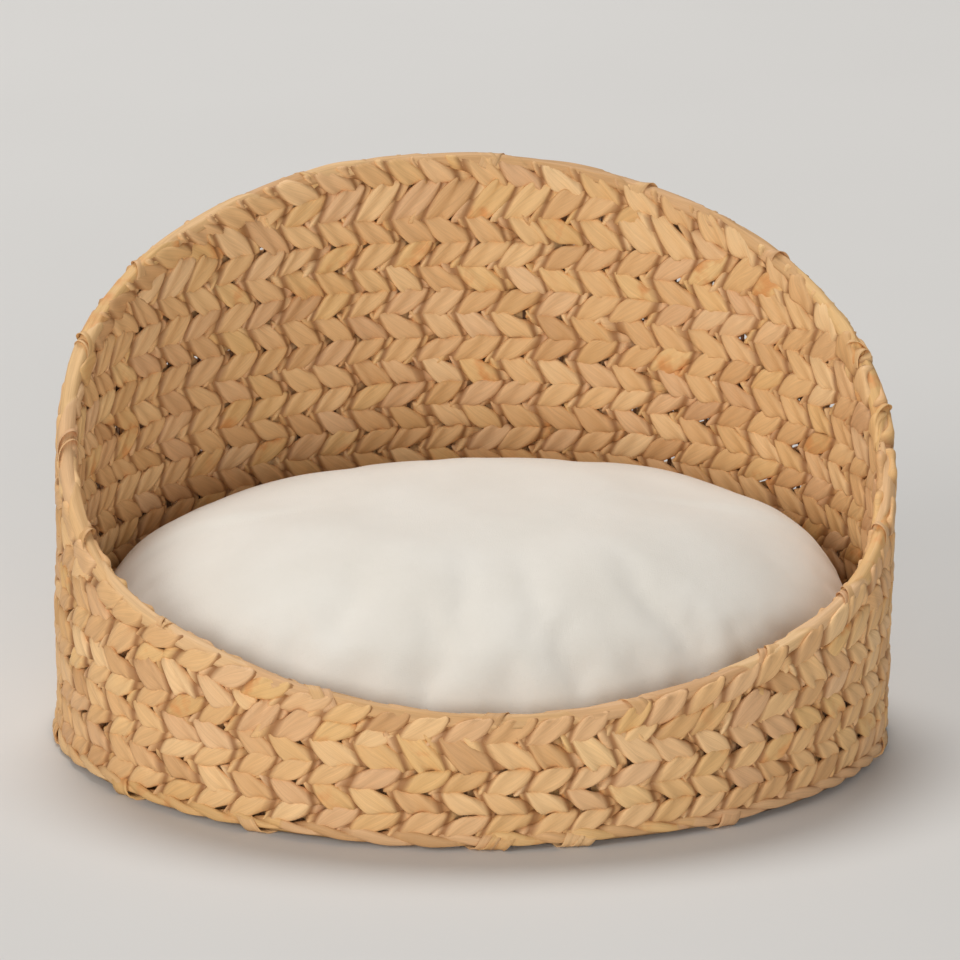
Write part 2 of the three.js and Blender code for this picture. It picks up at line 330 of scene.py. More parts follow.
def stake_sway(u, z):
    """The stakes lean and wave a little, so the leaves don't stand in ruled columns."""
    waves = wander(u, 11, 5) * np.cos(z * 19) + wander(u, 12, 7) * np.sin(z * 23)
    return STAKE_SWAY * waves


def row_sway(u, z):
    """The rows rise and fall a little, each much like its neighbours."""
    waves = wander(u, 31, 5) * np.cos(z * 30) + wander(u, 32, 7) * np.sin(z * 34)
    return ROW_SWAY * waves


def rim_row_bottom(u):
    """The level of the lower edge of the row that follows the rim."""
    return rim_height(u) - RIM_HEIGHT + RIM_OVERLAP - RIM_ROW_HEIGHT


def row_room(u, row):
    """The height left for a row under the row that follows the rim."""
    return rim_row_bottom(u) - row_bottom(row)


def wall_row(builder, row):
    """A twined pair of strands in one row of the wall.

    A row starts where it has room for narrow leaves. Before that the row below it fills the gap
    with wide ones.
    """
    handed = np.array([-1.0 if row % 2 == 0 else 1.0])
    low, full = row_bottom(row), row_bottom(row + 1) - row_bottom(row)
    spots_per_pitch = 20
    spots = np.linspace(0, STAKES, STAKES * spots_per_pitch, endpoint=False)
    room = row_room(spots, row)
    enough = NARROWEST * full
    closed = bool(room.min() > enough)
    if closed:
        start, end = 0.5, STAKES + 0.5
    elif room.max() < enough:
        return
    else:
        inside = spots[room > enough]
        start, end = inside.min(), inside.max()
    steps = int(round((end - start) * LEAF_STEPS))
    u = np.linspace(start, end, steps, endpoint=not closed)
    spread = np.linspace(-ROOM_SPREAD, ROOM_SPREAD, 9)[:, None]
    room = row_room(u + spread, row)
    # a row with room for itself and for narrow leaves above it keeps its full height
    height = np.where(room > (1.15 + NARROWEST) * full, full, room + RIM_TUCK).mean(0)
    height = np.maximum(height, NARROWEST * full)
    # the row's start and end tuck in behind its neighbours
    ends = np.ones(steps) if closed else np.clip(np.minimum(u - start, end - u) / 0.4, 0.3, 1)
    middle = low + height / 2 + row_sway(u, low)
    radial = WALL / 2 + WEAVE_PROUD + 0.0005 * wander(u, 200 + row, 9)
    point, out = outline(u + stake_sway(u, low), WALL / 2)
    origin = point + UP * middle[:, None]
    up = np.broadcast_to(UP, origin.shape)
    for strand in (0, 1):
        leaves = Leaves(1000 + 10 * row + strand, STAKES)
        twined_strand(builder, origin, out, up, u + strand, handed, height * ends ** 0.2,
                      leaves, closed, radial * ends ** 0.4)


def rim_row(builder):
    """The last row follows the rim. It leans one way in front and the other way at the back."""
    steps = STAKES * LEAF_STEPS
    u = np.linspace(0.5, STAKES + 0.5, steps, endpoint=False)
    lean = -np.cos(2 * np.pi * u / STAKES)
    lean = np.sign(lean) * np.clip(np.abs(lean) * 1.5, 0.3, 1)
    point, out = outline(u + stake_sway(u, 0.2), WALL / 2)
    origin = point + UP * (rim_row_bottom(u) + RIM_ROW_HEIGHT / 2)[:, None]
    along = loop_tangent(origin)
    # narrower and lower where the rim is steep, because its room is measured straight up
    narrowest, lowering = 0.65, 0.007
    flat = np.maximum(np.hypot(along[:, 0], along[:, 1]), narrowest)
    height = RIM_ROW_HEIGHT * flat
    origin -= UP * (lowering * (1 - flat))[:, None]
    up = np.cross(out, along) * -1
    up *= np.sign(up[:, 2:3])
    for strand in (0, 1):
        leaves = Leaves(3000 + strand, STAKES)
        twined_strand(builder, origin, out, up, u + strand, lean, height, leaves, True,
                      np.full(steps, WALL / 2 + WEAVE_PROUD), width=1.12)


# ---- Materials ----

class Nodes:
    """A short way to lay out one material's nodes."""

    def __init__(self, name):
        self.material = bpy.data.materials.new(name)
        self.material.use_nodes = True
        self.tree = self.material.node_tree
        self.tree.nodes.clear()
        output = self.add("ShaderNodeOutputMaterial")
        self.shader = self.add("ShaderNodeBsdfPrincipled")
        self.link(self.shader.outputs["BSDF"], output.inputs["Surface"])

    def add(self, kind, **settings):
        node = self.tree.nodes.new(kind)
        for key, value in settings.items():
            setattr(node, key, value)
        return node

    def link(self, source, target):
        self.tree.links.new(source, target)

    def attribute(self, name):
        return self.add("ShaderNodeAttribute", attribute_name=name).outputs["Fac"]

    def feed(self, sockets, values):
        """Sets each socket to its number or colour, or links it to its value's output."""
        for socket, value in zip(sockets, values):
            if isinstance(value, (int, float)):
                socket.default_value = value
            elif isinstance(value, tuple):
                socket.default_value = (*value, 1)
            else:
                self.link(value, socket)

    def math(self, operation, a, b):
        node = self.add("ShaderNodeMath", operation=operation)
        self.feed(node.inputs, (a, b))
        return node.outputs[0]

    def vector(self, *parts):
        node = self.add("ShaderNodeCombineXYZ")
        self.feed(node.inputs, parts)
        return node.outputs[0]

    def noise(self, vector, scale, detail=3.0):
        node = self.add("ShaderNodeTexNoise")
        node.inputs["Scale"].default_value = scale
        node.inputs["Detail"].default_value = detail
        node.inputs["Roughness"].default_value = 0.55
        self.link(vector, node.inputs["Vector"])
        return node.outputs["Fac"]

    def ramp(self, factor, *stops):
        """Each stop is a place from 0 to 1, and a colour or a single value there."""
        node = self.add("ShaderNodeValToRGB")
        elements = node.color_ramp.elements
        while len(elements) < len(stops):
            elements.new(0.5)
        for element, (position, colour) in zip(elements, stops):
            element.position = position
            element.color = (*colour, 1) if isinstance(colour, tuple) else (colour, colour, colour, 1)
        self.link(factor, node.inputs["Fac"])
        return node.outputs["Color"]

    def mix(self, factor, a, b, blend="MIX"):
        node = self.add("ShaderNodeMix", data_type="RGBA", blend_type=blend)
        # of the node's many sockets, these are the ones for colours
        self.feed((node.inputs[0], node.inputs[6], node.inputs[7]), (factor, a, b))
        return node.outputs[2]

    def bump(self, height, strength, distance, under=None):
        node = self.add("ShaderNodeBump")
        node.inputs["Strength"].default_value = strength
        node.inputs["Distance"].default_value = distance
        self.link(height, node.inputs["Height"])
        if under is not None:
            self.link(under, node.inputs["Normal"])
        return node.outputs["Normal"]

    def coordinates(self):
        return self.add("ShaderNodeTexCoord").outputs["Object"]

    def scaled(self, vector, factors):
        node = self.add("ShaderNodeVectorMath", operation="MULTIPLY")
        self.link(vector, node.inputs[0])
        node.inputs[1].default_value = factors
        return node.outputs[0]


def hyacinth_material(name, bright=1.0):
    """Dried water hyacinth: leaf to leaf changes of colour, lengthwise fibres, and painted shade that
    darkens each leaf towards its turns in the crevices.
    """
    n = Nodes(name)
    tone, hue, tip = n.attribute("tone"), n.attribute("hue"), n.attribute("tip")
    along, around = n.attribute("along"), n.attribute("around")
    # noise drawn out along the fibres, and a different part of it for each leaf
    seed = n.math("MULTIPLY", tone, 37.0)
    fibres = n.vector(n.math("MULTIPLY", along, 60.0), n.math("MULTIPLY", around, 1500.0), seed)
    bands = n.vector(n.math("MULTIPLY", along, 22.0), n.math("MULTIPLY", around, 330.0), seed)
    fine = n.noise(fibres, 1.0, 2.0)
    broad = n.noise(bands, 1.0, 3.0)
    blotch = n.noise(n.coordinates(), 55.0, 3.0)

    shade = [tuple(c * bright for c in colour) for colour in (
        (0.61, 0.335, 0.145), (0.73, 0.425, 0.19), (0.80, 0.49, 0.225), (0.87, 0.58, 0.30))]
    base = n.ramp(tone, (0.0, shade[0]), (0.3, shade[1]), (0.65, shade[2]), (1.0, shade[3]))
    pink = n.mix(n.ramp(hue, (0.0, 0.5), (0.35, 0.0)), base, (0.72, 0.43, 0.25))
    gold = n.mix(n.ramp(hue, (0.72, 0.0), (1.0, 0.5)), pink, (0.76, 0.47, 0.17))
    rusty_leaf = n.ramp(hue, (0.86, 0.0), (0.93, 1.0))
    rust = n.math("MULTIPLY", n.ramp(blotch, (0.52, 0.0), (0.66, 0.75)), rusty_leaf)
    gold = n.mix(rust, gold, (0.70, 0.29, 0.09))
    streaked = n.mix(1.0, gold, n.ramp(broad, (0.25, 0.91), (0.75, 1.06)), "MULTIPLY")
    lined = n.mix(1.0, streaked, n.ramp(fine, (0.3, 0.91), (0.7, 1.05)), "MULTIPLY")
    # painted shade: each leaf darkens to dark brown towards where it turns on edge into the crevices between
    # stakes and rows
    ends = n.mix(n.ramp(tip, (0.45, 0.0), (0.87, 0.88)), lined, (0.33, 0.145, 0.05))
    n.link(ends, n.shader.inputs["Base Color"])
    n.link(n.ramp(broad, (0.2, 0.72), (0.8, 0.5)), n.shader.inputs["Roughness"])
    n.shader.inputs["Specular IOR Level"].default_value = 0.35
    low = n.bump(broad, 0.3, 0.0008)
    n.link(n.bump(fine, 0.25, 0.0003, low), n.shader.inputs["Normal"])
    return n.material


def cotton_material():
    """Plain off-white cotton: a fine weave, a few thick threads and soft mottling."""
    n = Nodes("cotton")
    place = n.coordinates()
    mottle = n.noise(place, 14.0, 4.0)
    slubs = n.noise(n.scaled(place, (260, 2600, 260)), 1.0, 1.0)
    threads = n.noise(n.scaled(place, (2600, 260, 260)), 1.0, 1.0)
    weave_height = n.math("ADD", slubs, threads)
    base = n.mix(n.ramp(mottle, (0.3, 0.0), (0.7, 1.0)), (0.72, 0.68, 0.61), (0.77, 0.735, 0.67))
    flecked = n.mix(n.ramp(slubs, (0.68, 0.0), (0.8, 0.25)), base, (0.62, 0.57, 0.49))
    n.link(flecked, n.shader.inputs["Base Color"])
    n.link(n.ramp(mottle, (0.0, 0.85), (1.0, 0.95)), n.shader.inputs["Roughness"])
    n.shader.inputs["Specular IOR Level"].default_value = 0.2
    n.shader.inputs["Sheen Weight"].default_value = 0.25
    n.shader.inputs["Sheen Roughness"].default_value = 0.5
    low = n.bump(n.noise(place, 38.0, 3.0), 0.25, 0.0016)
    n.link(n.bump(weave_height, 0.30, 0.00035, low), n.shader.inputs["Normal"])
    return n.material


def steel_material():
    """Stake and ring wire: dark brown as painted shade, so that where it shows through the weave it reads as
    the crevices' shade, with lighter rust patches.
    """
    n = Nodes("dark_wire")
    rust = n.noise(n.coordinates(), 90.0, 4.0)
    # painted shade: both browns are kept dark so the wire reads as shade in the gaps; the noise spreads
    # lighter rust patches over it
    colour = n.ramp(rust, (0.35, (0.09, 0.045, 0.022)), (0.7, (0.2, 0.1, 0.045)))
    n.link(colour, n.shader.inputs["Base Color"])
    n.link(n.ramp(rust, (0.3, 0.45), (0.7, 0.75)), n.shader.inputs["Roughness"])
    n.shader.inputs["Metallic"].default_value = 0.25
    n.link(n.bump(rust, 0.3, 0.0003), n.shader.inputs["Normal"])
    return n.material


# ---- Rim, foot and base ----

def upright_sweep(builder, u, height, section, **values):
    """Sweeps sections round the outline: x outwards from the stakes, y up from height."""
    point, out = outline(u, WALL / 2)
    x, y = section[..., 0], section[..., 1]
    rings = point[:, None] + out[:, None] * x[..., None] + UP * (height[:, None] + y)[..., None]
    builder.sweep(rings, True, **values)


def strip_values(u, skew, seed, length):
    """Long strips laid end to end: which strip, and how far along it, at each place."""
    shifted = u[:, None] + skew + 0.8 * wander(u, seed, 6)[:, None]
    count = int(STAKES / length)
    share = np.mod(shifted, STAKES) / STAKES * count
    strip = np.floor(share).astype(int) % count
    rng = np.random.default_rng(seed)
    return strip, share - np.floor(share), rng.beta(2.5, 2, count), rng.random(count)


def roll_profile(turn, proud, raised):
    """The rim's rounded top as out and up distances: turn 0 is its outer foot and pi its inner one."""
    x = signed_power(np.cos(turn), 0.95) * (ROLL_HALF + proud)
    y = -RIM_HEIGHT + (RIM_HEIGHT + raised) * signed_power(np.sin(turn), 0.75)
    return x, y


def rim_roll(builder):
    """The rim's wrapping: flat strips rolled over the wall's top, open underneath."""
    steps = STAKES * 16
    u = np.linspace(0, STAKES, steps, endpoint=False)
    turn = np.linspace(0, np.pi, 17)
    x, y = roll_profile(turn, 0, 0.0002)
    strip, share, tones, hues = strip_values(u, 0.45 * np.cos(turn)[None, :], seed=41, length=2.2)
    lump = 1 + 0.05 * np.stack([wander(u, 50 + i // 3, 1.3) for i in range(len(turn))], 1)
    # each strip stands a little higher at its end, where the next one starts under it
    lift = 0.0009 * (share - 0.5) + 0.00018 * np.cos(turn * 5 + strip)
    outer = np.stack([x * lump + np.cos(turn) * lift, y + np.sin(turn) * (lift + (lump - 1) * 0.01)], 2)
    hollow, roof, bevel = ROLL_HALF - 0.0017, -0.0021, 0.001
    inner = np.array([(-hollow, -RIM_HEIGHT), (-hollow, roof - bevel), (bevel - hollow, roof),
                      (hollow - bevel, roof), (hollow, roof - bevel), (hollow, -RIM_HEIGHT)])
    inner = np.broadcast_to(inner, (steps, *inner.shape))
    section = np.concatenate([outer, inner], 1)
    pad = np.zeros((steps, inner.shape[1]), int)
    strip = np.concatenate([strip, pad], 1)
    around = np.concatenate([turn * 0.005, np.zeros(inner.shape[1])])
    upright_sweep(builder, u, rim_height(u), section, tone=tones[strip], hue=hues[strip], tip=0 * u,
                  along=u * PITCH, around=np.broadcast_to(around, strip.shape))


def binding(builder, u, height, profile, width, thick, slant, tone, hue):
    """A narrow strip bound round the rim or foot: it follows profile, (out, up) points, at place u."""
    profile = np.asarray(profile)
    lengths = path_lengths(profile)
    along = np.linspace(0, lengths[-1], BINDING_STEPS)
    x = np.interp(along, lengths, profile[:, 0])
    y = np.interp(along, lengths, profile[:, 1])
    places = u + slant * np.linspace(-0.5, 0.5, BINDING_STEPS)
    point, out = outline(places, WALL / 2)
    centre = point + out * x[:, None] + UP * (height(places) + y)[:, None]
    ahead, behind = np.vstack([centre[1:], centre[-1:]]), np.vstack([centre[:1], centre[:-1]])
    tangent = unit(ahead - behind)
    along_wall = np.cross(UP, out)
    side = unit(along_wall - tangent * np.sum(along_wall * tangent, 1)[:, None])
    normal = np.cross(side, tangent)
    rings = section_rings(centre, side, normal, width / 2, thick / 2, BINDING_SIDES)
    # flattened where it would go through the floor
    rings[..., 2] = np.maximum(rings[..., 2], FLOOR_GAP)
    builder.sweep(rings, False, tone=tone, hue=hue, tip=0.15, along=along,
                  around=np.cos(turns(BINDING_SIDES))[None] * (width / 2))


def bindings_round(builder, seed, height, profile, gap, apart, widths, thick, slants):
    """Bindings all the way round: one or two side by side, at uneven gaps.

    gap, apart and slants are in stake pitches.
    """
    rng = np.random.default_rng(seed)
    place = 0.3
    while place < STAKES - 0.5:
        for i in range(rng.integers(1, 3)):
            binding(builder, place + apart * i, height, profile, rng.uniform(*widths), thick,
                    rng.uniform(*slants) * rng.choice((-1, 1)), rng.beta(2, 2), rng.random())
        place += gap * rng.uniform(0.5, 1.6)


def rim_bindings(builder):
    """Strips bound over the rim's roll. They reach a little round its feet."""
    profile = np.stack(roll_profile(np.linspace(-0.12, np.pi + 0.12, 16), 0.0001, 0.0003), 1)
    bindings_round(builder, 61, rim_height, profile, gap=3.4, apart=0.22, widths=(0.0080, 0.0120),
                   thick=0.0006, slants=(0.3, 0.7))


def foot_level(u):
    """The foot's band and bindings are measured from the floor."""
    return 0 * u


def foot_clearance(u):
    """The band doesn't stand level: it lifts off the floor a little between the places it rests on."""
    return np.clip(0.0033 + 0.0014 * wander(u, 70, 2.6), FLOOR_GAP, 0.0047)


def foot_band(builder):
    """The foot's core: a floor under the wall with an outer lip."""
    steps = STAKES * 10
    u = np.linspace(0, STAKES, steps, endpoint=False)
    reach, top, lip, floor = WALL / 2 - 0.0022, WALL_FOOT - 0.0014, 0.0020, 0.0024
    profile = np.array([(-WALL / 2, 0.0004), (0, 0.0002), (reach - 0.0022, 0.0004), (reach - 0.0008, 0.0012),
                        (reach, 0.0028), (reach + 0.0002, 0.0045), (reach, 0.0066), (reach - 0.0008, top),
                        (reach - lip, top), (reach - lip, floor), (0, floor), (-WALL / 2, floor)])
    under, outer = slice(1, 4), slice(3, 8)
    section = np.broadcast_to(profile, (steps, *profile.shape)).copy()
    section[:, under, 1] += foot_clearance(u)[:, None] * 0.8
    section[:, outer, 0] += 0.0003 * wander(u, 71, 1.1)[:, None]
    strip, _, tones, hues = strip_values(u, np.zeros((1, len(profile))), seed=72, length=3.5)
    around = np.linspace(0, 0.03, len(profile))
    upright_sweep(builder, u, foot_level(u), section, tone=tones[strip], hue=hues[strip], tip=0 * u,
                  along=u * PITCH, around=np.broadcast_to(around, strip.shape))


def foot_twist(builder):
    """Two long strands twisted loosely along the foot's outer face."""
    steps = STAKES * 14
    u = np.linspace(0, STAKES, steps, endpoint=False)
    point, out = outline(u, WALL / 2)
    twists, sides, softness = 29, 12, 0.0006
    floor = foot_clearance(u)[:, None]
    for strand in (0, 1):
        phase = 2 * np.pi * twists * u / STAKES + np.pi * strand + 0.9 * wander(u, 80, 4)
        lumps = 1 + 0.13 * wander(u, 82 + strand, 1.3) + 0.07 * wander(u, 87 + strand, 0.6)
        thick = 0.0023 * lumps
        reach = 0.0046 + 0.0015 * np.cos(phase)
        level = 0.0049 + 0.0021 * np.sin(phase) + 0.4 * foot_clearance(u)
        centre = point + out * reach[:, None] + UP * level[:, None]
        tangent = loop_tangent(centre)
        side = unit(np.cross(tangent, out))
        half = 0.0033 * lumps * (1 + 0.12 * np.cos(phase))
        rings = section_rings(centre, side, np.cross(side, tangent), half, thick, sides)
        # pressed flat where it would go below its clearance
        above = rings[..., 2] - floor
        rings[..., 2] = floor + 0.5 * (above + np.hypot(above, softness))
        strip, _, tones, hues = strip_values(u, np.zeros((1, sides)), seed=86 + strand, length=5.0)
        # painted shade: each strand is darker where it twists in towards the wall, between the twists
        builder.sweep(rings, True, tone=tones[strip], hue=hues[strip], tip=0.42 - 0.42 * np.cos(phase),
                      along=u * PITCH, around=np.cos(turns(sides))[None] * half[:, None])


def foot_bindings(builder):
    """Strips bound round the foot, from under the wall up its outer face."""
    profile = [(-0.002, 0.0016), (0.003, 0.0009), (0.0062, 0.0016), (0.0078, 0.0033), (0.0081, 0.0052),
               (0.0076, 0.0073), (0.0060, 0.0092), (0.0035, 0.0100)]
    bindings_round(builder, 91, foot_level, profile, gap=4.2, apart=0.26, widths=(0.0090, 0.0130),
                   thick=0.0015, slants=(0.3, 0.8))


def flat_pair(builder, seed, count, origin, up, place, handed, height, closed, radial, sides):
    """A twined pair that lies flat. Its leaves stay within the base's thickness."""
    out = np.broadcast_to(UP, origin.shape)
    for strand in (0, 1):
        leaves = Leaves(seed + strand, count)
        leaves.bulge = -np.abs(leaves.bulge)
        twined_strand(builder, origin, out, up, place + strand, np.array([handed]), height, leaves,
                      closed, radial, sides=sides)


def woven_base(builder):
    """The base: straight twined rows over the stakes, seen from above and below."""
    low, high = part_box("base_mat_under")[0].z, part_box("base_mat_top")[1].z
    middle, radial = (low + high) / 2, (high - low) / 2
    gap, steps_per_leaf, taper = 0.0012, 9, 0.012
    half_width, half_depth = HALF_WIDTH - WALL - gap, HALF_DEPTH - WALL - gap
    count = int(2 * half_depth / ROW_HEIGHT)
    height = 2 * half_depth / count
    middle_place = 20  # the leaf place at the middle of a row
    for row in range(count):
        y = -half_depth + height * (row + 0.5)
        edge = (abs(y) + height * 0.4) / half_depth
        reach = half_width * math.sqrt(max(1 - edge ** 2, 0.02)) - 0.003
        steps = max(int(2 * reach / PITCH * steps_per_leaf), 12)
        x = np.linspace(-reach, reach, steps)
        origin = np.stack([x, 0 * x + y, 0 * x + middle], 1)
        up = np.broadcast_to(np.array([0, 1.0, 0]), origin.shape)
        ends = np.clip((reach - np.abs(x)) / taper, 0.3, 1)
        flat_pair(builder, 5000 + 10 * row, 2 * middle_place, origin, up, x / PITCH + middle_place,
                  -1.0 if row % 2 else 1.0, height * ends, False, radial * ends ** 0.3, 8)
    base_edge(builder, middle, radial)


def base_edge(builder, middle, radial):
    """One row runs round the base's edge, where the stakes turn up into the wall."""
    steps = STAKES * 12
    u = np.linspace(0.5, STAKES + 0.5, steps, endpoint=False)
    height = 0.0125
    point, outwards = outline(u, WALL + 0.0072)
    flat_pair(builder, 5900, STAKES, point + UP * middle, -outwards, u, 1.0, np.full(steps, height),
              True, np.full(steps, radial), 10)


# ---- Cushion ----

def cushion_place():
    """Half width, half depth, lowest, seam and highest levels of the cushion's place."""
    top_low, top_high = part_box("cushion_top_panel")
    return top_high.x, top_high.y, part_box("cushion_bottom_panel")[0].z, top_low.z, top_high.z


def cushion_blank():
    """The unfilled cushion: a closed oval form, a little smaller than its place."""
    half_width, half_depth, bottom, seam, crown = cushion_place()
    rings, sides = 30, 120
    slack_above, slack_below, shrink = 0.010, 0.004, 0.975
    profile = []  # (share of the half width, level), from the crown out to the seam and back under
    for i in range(rings + 1):
        share = math.sin(math.pi / 2 * i / rings)
        profile.append((share, seam + (crown - slack_above - seam) * math.sqrt(1 - share ** 3.4)))
    for i in range(rings - 1, 0, -1):
        share = math.sin(math.pi / 2 * i / rings)
        profile.append((share, seam - (seam - bottom - slack_below) * math.sqrt(1 - share ** 5)))
    profile.append((0.0, bottom + slack_below))
    points = [(0, 0, profile[0][1])]
    for share, z in profile[1:-1]:
        reach_x, reach_y = half_width * shrink * share, half_depth * shrink * share
        for angle in 2 * np.pi * np.arange(sides) / sides:
            points.append((reach_x * math.cos(angle), reach_y * math.sin(angle), z))
    points.append((0, 0, profile[-1][1]))
    last = len(points) - 1
    faces = []
    for k in range(sides):
        after = (k + 1) % sides
        faces.append((0, 1 + k, 1 + after))
        faces.append((last, last - sides + after, last - sides + k))
    for ring in range(len(profile) - 3):
        for k in range(sides):
            a, b = 1 + ring * sides + k, 1 + ring * sides + (k + 1) % sides
            faces.append((a, a + sides, b + sides, b))
    mesh = bpy.data.meshes.new("cushion")
    mesh.from_pydata(points, [], faces)
    obj = bpy.data.objects.new("cushion", mesh)
    bpy.context.scene.collection.objects.link(obj)
    return obj


def apply_modifiers(obj):
    """Gives the object the mesh that its modifiers make."""
    graph = bpy.context.evaluated_depsgraph_get()
    mesh = bpy.data.meshes.new_from_object(obj.evaluated_get(graph))
    obj.modifiers.clear()
    obj.data = mesh


def coordinates_of(mesh):
    points = np.empty(len(mesh.vertices) * 3)
    mesh.vertices.foreach_get("co", points)
    return points.reshape(-1, 3)


def fill_with_cloth(obj):
    """Swells the cover from inside by cloth simulation. The seam's edge stays where it is sewn."""
    frames, furthest = 24, 0.014
    remesh = obj.modifiers.new("remesh", "REMESH")
    remesh.mode = "VOXEL"
    remesh.voxel_size = 0.006
    apply_modifiers(obj)
    before = coordinates_of(obj.data)
    half_width, half_depth, _, seam, _ = cushion_place()
    group = obj.vertex_groups.new(name="seam")
    radius = np.hypot(before[:, 0] / half_width, before[:, 1] / half_depth)
    sewn = np.where((np.abs(before[:, 2] - seam) < 0.004) & (radius > 0.9))[0]
    group.add([int(i) for i in sewn], 1.0, "REPLACE")
    cloth = obj.modifiers.new("cloth", "CLOTH")
    cloth.settings.quality = 6
    cloth.settings.mass = 0.15
    cloth.settings.tension_stiffness = 12
    cloth.settings.compression_stiffness = 8
    cloth.settings.shear_stiffness = 6
    cloth.settings.bending_stiffness = 0.15
    cloth.settings.use_pressure = True
    cloth.settings.uniform_pressure_force = 3.5
    cloth.settings.shrink_min = -0.035
    cloth.settings.vertex_group_mass = "seam"
    cloth.settings.effector_weights.gravity = 0
    cloth.point_cache.frame_start, cloth.point_cache.frame_end = 1, frames
    for step in range(1, frames + 1):
        bpy.context.scene.frame_set(step)
    apply_modifiers(obj)
    bpy.context.scene.frame_set(1)
    moved = coordinates_of(obj.data) - before
    length = np.linalg.norm(moved, axis=1, keepdims=True)
    moved *= np.minimum(1, furthest / np.maximum(length, 1e-9))
    obj.data.vertices.foreach_set("co", (before + moved).ravel())


def seam_puckers(angle, radius):
    """Seeded creases that run in from the seam, about 1 deep."""
    pucker = np.zeros_like(angle)
    rng = np.random.default_rng(7)
    for _ in range(90):
        centre, width = rng.uniform(-np.pi, np.pi), rng.uniform(0.012, 0.03)
        gap = np.angle(np.exp(1j * (angle - centre)))
        depth = rng.uniform(0.4, 1.0) * np.exp(-(gap / width) ** 2)
        pucker += depth * smooth(0.55 + 0.25 * rng.random(), 1.0, radius)
    return pucker


def settle_cushion(points):
    """Rests the filled cushion on the base, keeps it off the wall, and gives it hand-stuffed lumps."""
    half_width, half_depth, bottom, seam, crown = cushion_place()
    x, y, z = points.T
    radius = np.hypot(x / half_width, y / half_depth)
    angle = np.arctan2(y / half_depth, x / half_width)
    top = smooth(seam, seam + 0.03, z)
    # broad low lumps, and smaller ones between them
    lumps = (0.0016 * np.sin(7.1 * x / half_width + 1.3) * np.cos(5.3 * y / half_depth - 0.4)
             + 0.0010 * np.sin(13 * x / half_width - 2.0) * np.sin(11 * y / half_depth + 0.7))
    lean = 0.004 * x / half_width + 0.002 * y / half_depth
    # fuller towards the ends than towards the front and back
    ends = 0.0055 * np.cos(2 * angle) * smooth(0.2, 0.9, radius) * np.where(y < 0, 0.3, 1.0)
    # two shallow dents in the back edge
    dent = 0.0045 * np.exp(-((angle - 2.05) / 0.35) ** 2) + 0.002 * np.exp(-((angle - 1.35) / 0.3) ** 2)
    z = z + top * (lumps + lean + ends - dent * smooth(0.3, 0.8, radius))
    z = z - 0.0010 * seam_puckers(angle, radius) * top
    # the upper side bulges out a little over the seam, and stops at the wall
    widest, base_gap, over_crown = 1.02, 0.0002, 0.004
    widen = 1 + 0.012 * top
    x, y, radius = x * widen, y * widen, radius * widen
    limit = np.minimum(1, widest / np.maximum(radius, 1e-9))
    z = np.clip(z, bottom + base_gap, crown + over_crown)
    return np.stack([x * limit, y * limit, z], 1)


def seam_ring(points, material):
    """The sewn edge where the cover's two panels meet, standing out a little all round."""
    half_width, half_depth, _, seam, _ = cushion_place()
    band = points[np.abs(points[:, 2] - seam) < 0.005]
    angle = np.arctan2(band[:, 1] / half_depth, band[:, 0] / half_width)
    radius = np.hypot(band[:, 0] / half_width, band[:, 1] / half_depth)
    count = 72
    spot = np.floor((angle + np.pi) / (2 * np.pi) * count).astype(int) % count
    reach = np.array([radius[spot == i].max() for i in range(count)])
    reach = (np.roll(reach, 1) + 2 * reach + np.roll(reach, -1)) / 4
    steps = 360
    turn = np.linspace(-np.pi, np.pi, steps, endpoint=False)
    middles = (np.arange(count) + 0.5) / count * 2 * np.pi - np.pi
    share = np.interp(turn, middles, reach, period=2 * np.pi)
    level = seam + 0.0008 * np.sin(9 * turn) + 0.0005 * np.sin(23 * turn + 1)
    centre = np.stack([half_width * share * np.cos(turn), half_depth * share * np.sin(turn), level], 1)
    tangent = loop_tangent(centre)
    out = np.cross(tangent, UP)
    half_edge, half_thick = 0.0030, 0.0009
    rings = section_rings(centre, out, np.cross(out, tangent), half_edge, half_thick, 10)
    builder = Builder("cushion_seam")
    builder.sweep(rings, True)
    builder.build(material, body="cushion")


def make_cushion(material):
    """The filled cushion in its place, with its sewn edge."""
    obj = cushion_blank()
    fill_with_cloth(obj)
    relax = obj.modifiers.new("relax", "SMOOTH")
    relax.iterations = 5
    apply_modifiers(obj)
    mesh = obj.data
    mesh.vertices.foreach_set("co", settle_cushion(coordinates_of(mesh)).ravel())
    subdivide = obj.modifiers.new("subdivide", "SUBSURF")
    subdivide.levels = subdivide.render_levels = 1
    apply_modifiers(obj)
    mesh = obj.data
    seam_ring(coordinates_of(mesh), material)
    mesh.polygons.foreach_set("use_smooth", np.ones(len(mesh.polygons), bool))
    mesh.materials.clear()
    mesh.materials.append(material)
    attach(obj, "cushion")
    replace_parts(obj, "cushion_top_panel", "cushion_bottom_panel", "cushion_filling")


# ---- Build ----

weave = hyacinth_material("water_hyacinth")
wrap = hyacinth_material("water_hyacinth_wrap", 0.9)
cotton = cotton_material()
steel = steel_material()

for name, node in nodes.items():
    if name.startswith("stake_") or name.endswith("_wire"):
        node.data.materials.clear()
        node.data.materials.append(steel)

for course in range(ROWS // 2):
    name = f"wall_course_{course + 1:02d}"
    builder = Builder(f"twined_course_{course + 1:02d}")
    wall_row(builder, 2 * course)
    wall_row(builder, 2 * course + 1)
    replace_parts(builder.build(weave), name)

